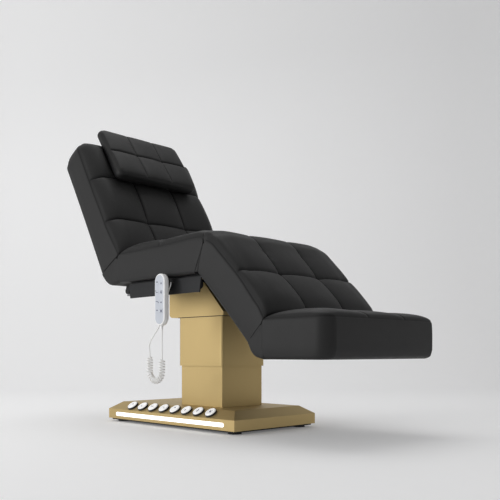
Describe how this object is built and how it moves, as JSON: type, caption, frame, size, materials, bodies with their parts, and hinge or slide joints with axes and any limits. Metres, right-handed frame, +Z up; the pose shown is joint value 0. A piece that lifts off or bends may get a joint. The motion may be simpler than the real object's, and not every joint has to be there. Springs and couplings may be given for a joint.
{
  "type": "electric beauty bed",
  "caption": "Electric treatment bed with quilted black sections that recline, raise and tilt on a gold lift column, with foot switches, a light strip and a corded handset.",
  "frame": {"origin": "floor point under the middle of the lift column", "axes": "+X towards the foot end, +Y away from the foot switches, +Z up"},
  "size_m": [1.5119, 0.6674, 1.313],
  "materials": {
    "black_leather": "semi-matt black artificial leather with a fine grain",
    "satin_gold": "satin brushed gold-coloured sheet steel",
    "board_cover": "plywood board with black lining",
    "black_metal": "satin black powder coat",
    "light_diffuser": "white diffuser",
    "white_cap": "smooth white plastic with a grey symbol",
    "handset_white": "smooth white plastic",
    "handset_film": "printed membrane film",
    "cord_sheath": "matt grey sheath",
    "bright_steel": "bright turned steel",
    "black_plastic": "matt black plastic"
  },
  "bodies": {
    "base": {"base_shell": "satin_gold", "base_plate": "black_metal", "levelling_feet": "black_metal", "light_strip": "light_diffuser", "switch_bodies": "black_plastic", "control_box": "black_plastic", "mains_inlet": "black_plastic", "lower_column": "satin_gold", "glide_pads": "black_plastic", "lift_actuator": "black_plastic"},
    "lift": {"column_sleeve": "satin_gold", "head_block": "satin_gold", "lift_carriage": "black_metal", "tilt_pin": "bright_steel", "tilt_actuator": "black_plastic", "lift_rod": "bright_steel"},
    "tilt_rod": {"tilt_rod": "bright_steel"},
    "seat": {"seat_cushion": "black_leather", "seat_board": "board_cover", "seat_frame": "black_metal", "back_hinge_pins": "bright_steel", "knee_hinge_pins": "bright_steel", "rail_near": "black_metal", "rail_far": "black_metal", "back_actuator": "black_plastic", "leg_actuator": "black_plastic", "handset_shell": "handset_white", "handset_overlay": "handset_film", "handset_hook": "black_metal", "cord_gland": "black_plastic", "cord_lead": "cord_sheath", "cord_curl": "cord_sheath", "cord_tail": "cord_sheath"},
    "back": {"back_cushion": "black_leather", "back_board": "board_cover", "back_frame": "black_metal", "head_pillow": "black_leather", "back_fold": "black_leather"},
    "back_rod": {"back_rod": "bright_steel"},
    "calf": {"calf_cushion": "black_leather", "calf_board": "board_cover", "calf_frame": "black_metal", "foot_hinge_pins": "bright_steel", "knee_fold": "black_leather"},
    "leg_rod": {"leg_rod": "bright_steel"},
    "leg_link": {"leg_link": "black_metal"},
    "foot": {"foot_cushion": "black_leather", "foot_board": "board_cover", "foot_frame": "black_metal", "foot_fold": "black_leather"},
    "foot_button_1": {"foot_button_1": "white_cap"},
    "foot_button_2": {"foot_button_2": "white_cap"},
    "foot_button_3": {"foot_button_3": "white_cap"},
    "foot_button_4": {"foot_button_4": "white_cap"},
    "foot_button_5": {"foot_button_5": "white_cap"},
    "foot_button_6": {"foot_button_6": "white_cap"},
    "foot_button_7": {"foot_button_7": "white_cap"},
    "foot_button_8": {"foot_button_8": "white_cap"}
  },
  "joints": [
    {"name": "column_lift", "type": "slide", "parent": "base", "child": "lift", "axis": [0, 0, 1], "range_m": [-0.13, 0.06]},
    {"name": "seat_tilt", "type": "hinge", "parent": "lift", "child": "seat", "pos_m": [-0.16, 0, 0.56], "axis": [0, -1, 0], "range_deg": [0, 12]},
    {"name": "tilt_drive", "type": "slide", "parent": "lift", "child": "tilt_rod", "axis": [0, 0, 1], "range_m": [0, 0.0336]},
    {"name": "back_recline", "type": "hinge", "parent": "seat", "child": "back", "pos_m": [-0.29, 0, 0.696], "axis": [0, 1, 0], "range_deg": [-60, 15], "deforming": ["back_fold"]},
    {"name": "back_drive", "type": "slide", "parent": "seat", "child": "back_rod", "axis": [-1, 0, 0], "range_m": [-0.1405, 0.0355]},
    {"name": "leg_lift", "type": "hinge", "parent": "seat", "child": "calf", "pos_m": [0.246, 0, 0.696], "axis": [0, -1, 0], "range_deg": [0, 45], "deforming": ["knee_fold"]},
    {"name": "leg_drive", "type": "slide", "parent": "seat", "child": "leg_rod", "axis": [1, 0, 0], "range_m": [0, 0.0998]},
    {"name": "link_swing", "type": "hinge", "parent": "seat", "child": "leg_link", "pos_m": [0.246, 0, 0.638], "axis": [0, -1, 0], "range_deg": [0, 45.2]},
    {"name": "foot_level", "type": "hinge", "parent": "calf", "child": "foot", "pos_m": [0.54299, 0, 0.39902], "axis": [0, 1, 0], "range_deg": [0, 45.2], "deforming": ["foot_fold"]},
    {"name": "press_1", "type": "slide", "parent": "base", "child": "foot_button_1", "axis": [0, 0.5589, -0.8293], "range_m": [0, 0.0025], "stiffness_N_per_m": 800},
    {"name": "press_2", "type": "slide", "parent": "base", "child": "foot_button_2", "axis": [0, 0.5589, -0.8293], "range_m": [0, 0.0025], "stiffness_N_per_m": 800},
    {"name": "press_3", "type": "slide", "parent": "base", "child": "foot_button_3", "axis": [0, 0.5589, -0.8293], "range_m": [0, 0.0025], "stiffness_N_per_m": 800},
    {"name": "press_4", "type": "slide", "parent": "base", "child": "foot_button_4", "axis": [0, 0.5589, -0.8293], "range_m": [0, 0.0025], "stiffness_N_per_m": 800},
    {"name": "press_5", "type": "slide", "parent": "base", "child": "foot_button_5", "axis": [0, 0.5589, -0.8293], "range_m": [0, 0.0025], "stiffness_N_per_m": 800},
    {"name": "press_6", "type": "slide", "parent": "base", "child": "foot_button_6", "axis": [0, 0.5589, -0.8293], "range_m": [0, 0.0025], "stiffness_N_per_m": 800},
    {"name": "press_7", "type": "slide", "parent": "base", "child": "foot_button_7", "axis": [0, 0.5589, -0.8293], "range_m": [0, 0.0025], "stiffness_N_per_m": 800},
    {"name": "press_8", "type": "slide", "parent": "base", "child": "foot_button_8", "axis": [0, 0.5589, -0.8293], "range_m": [0, 0.0025], "stiffness_N_per_m": 800}
  ],
  "couplings": [
    {"joint": "tilt_drive", "follows": "seat_tilt", "m_per_rad": 0.15884},
    {"joint": "back_drive", "follows": "back_recline", "m_per_rad": 0.134},
    {"joint": "leg_drive", "follows": "leg_lift", "m_per_rad": 0.1267},
    {"joint": "link_swing", "follows": "leg_lift", "ratio": 1},
    {"joint": "foot_level", "follows": "leg_lift", "ratio": 1}
  ]
}
